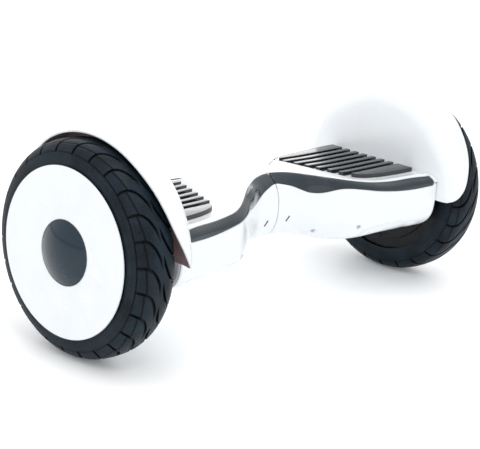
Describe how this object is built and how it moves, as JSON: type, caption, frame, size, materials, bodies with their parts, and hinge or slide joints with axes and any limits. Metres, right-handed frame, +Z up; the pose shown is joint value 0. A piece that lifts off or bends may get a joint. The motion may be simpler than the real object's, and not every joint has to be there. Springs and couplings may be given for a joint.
{
  "type": "self balancing hoverboard",
  "caption": "Two-wheeled self balancing board: two white halves that twist about a central tube, ribbed rubber foot pads, round fenders and hub motor wheels with pneumatic tyres.",
  "frame": {"origin": "on the floor, midway between the two wheels and under the axles", "axes": "+X along the axles, towards the right half; -Y is the front with the lamps; +Z up"},
  "size_m": [0.6834, 0.2756, 0.268],
  "materials": {
    "white_shell": "glossy moulded ABS",
    "trim": "glossy moulded band, dark grey",
    "circuit_board": "solder resist",
    "pad_rubber": "moulded rubber with a fine grain",
    "cast_aluminium": "as cast",
    "steel": "machined",
    "lamination": "stacked electrical steel",
    "copper_wire": "enamelled copper",
    "cable_jacket": "extruded jacket",
    "smoked_window": "smoked polycarbonate",
    "tyre": "tread and smooth sidewall",
    "rim_casting": "black painted die casting",
    "magnet": "nickel plated",
    "bearing_steel": "ground",
    "dome_gloss": "high gloss dome",
    "bush_plastic": "acetal",
    "battery_wrap": "shrink wrap",
    "socket": "moulded socket with contacts",
    "button_plastic": "moulded button"
  },
  "bodies": {
    "left_half": {"left_top_shell": "white_shell", "left_bottom_shell": "white_shell", "left_fender": "white_shell", "left_front_trim": "trim", "left_rear_trim": "trim", "left_lamp_board": "circuit_board", "left_sensor_board": "circuit_board", "left_chassis": "cast_aluminium", "left_axle_clamp": "cast_aluminium", "left_clamp_bolts": "steel", "left_axle": "steel", "left_stator": "lamination", "left_windings": "copper_wire", "left_motor_cable": "cable_jacket", "left_shell_screws": "steel", "left_indicator_window": "smoked_window", "pivot_tube": "steel", "retaining_clip": "steel", "battery_pack": "battery_wrap"},
    "right_half": {"right_top_shell": "white_shell", "right_bottom_shell": "white_shell", "right_fender": "white_shell", "right_front_trim": "trim", "right_rear_trim": "trim", "right_lamp_board": "circuit_board", "right_sensor_board": "circuit_board", "right_chassis": "cast_aluminium", "right_axle_clamp": "cast_aluminium", "right_clamp_bolts": "steel", "right_axle": "steel", "right_stator": "lamination", "right_windings": "copper_wire", "right_motor_cable": "cable_jacket", "right_shell_screws": "steel", "right_indicator_window": "smoked_window", "neck_bush": "bush_plastic", "twist_stop_pin": "steel", "control_board": "circuit_board", "charge_socket": "socket"},
    "left_wheel": {"left_tyre": "tyre", "left_rim": "rim_casting", "left_magnets": "magnet", "left_inner_motor_cover": "rim_casting", "left_outer_motor_cover": "rim_casting", "left_bearings": "bearing_steel", "left_valve_stem": "cable_jacket", "left_wheel_cap": "white_shell", "left_dome_cap": "dome_gloss"},
    "right_wheel": {"right_tyre": "tyre", "right_rim": "rim_casting", "right_magnets": "magnet", "right_inner_motor_cover": "rim_casting", "right_outer_motor_cover": "rim_casting", "right_bearings": "bearing_steel", "right_valve_stem": "cable_jacket", "right_wheel_cap": "white_shell", "right_dome_cap": "dome_gloss"},
    "left_pad": {"left_foot_pad": "pad_rubber"},
    "right_pad": {"right_foot_pad": "pad_rubber"},
    "button": {"power_button": "button_plastic"}
  },
  "joints": [
    {"name": "neck_twist", "type": "hinge", "parent": "left_half", "child": "right_half", "pos_m": [0, 0, 0.138], "axis": [1, 0, 0], "range_deg": [-12, 12]},
    {"name": "left_wheel_spin", "type": "hinge", "parent": "left_half", "child": "left_wheel", "pos_m": [-0.299, 0, 0.13], "axis": [1, 0, 0], "continuous": true},
    {"name": "right_wheel_spin", "type": "hinge", "parent": "right_half", "child": "right_wheel", "pos_m": [0.299, 0, 0.13], "axis": [1, 0, 0], "continuous": true},
    {"name": "left_pad_press", "type": "slide", "parent": "left_half", "child": "left_pad", "axis": [0, 0, -1], "range_m": [0, 0.0015], "stiffness_N_per_m": 9000},
    {"name": "right_pad_press", "type": "slide", "parent": "right_half", "child": "right_pad", "axis": [0, 0, -1], "range_m": [0, 0.0015], "stiffness_N_per_m": 9000},
    {"name": "power_button_press", "type": "slide", "parent": "right_half", "child": "button", "axis": [0, -1, 0], "range_m": [0, 0.0012], "stiffness_N_per_m": 600}
  ]
}
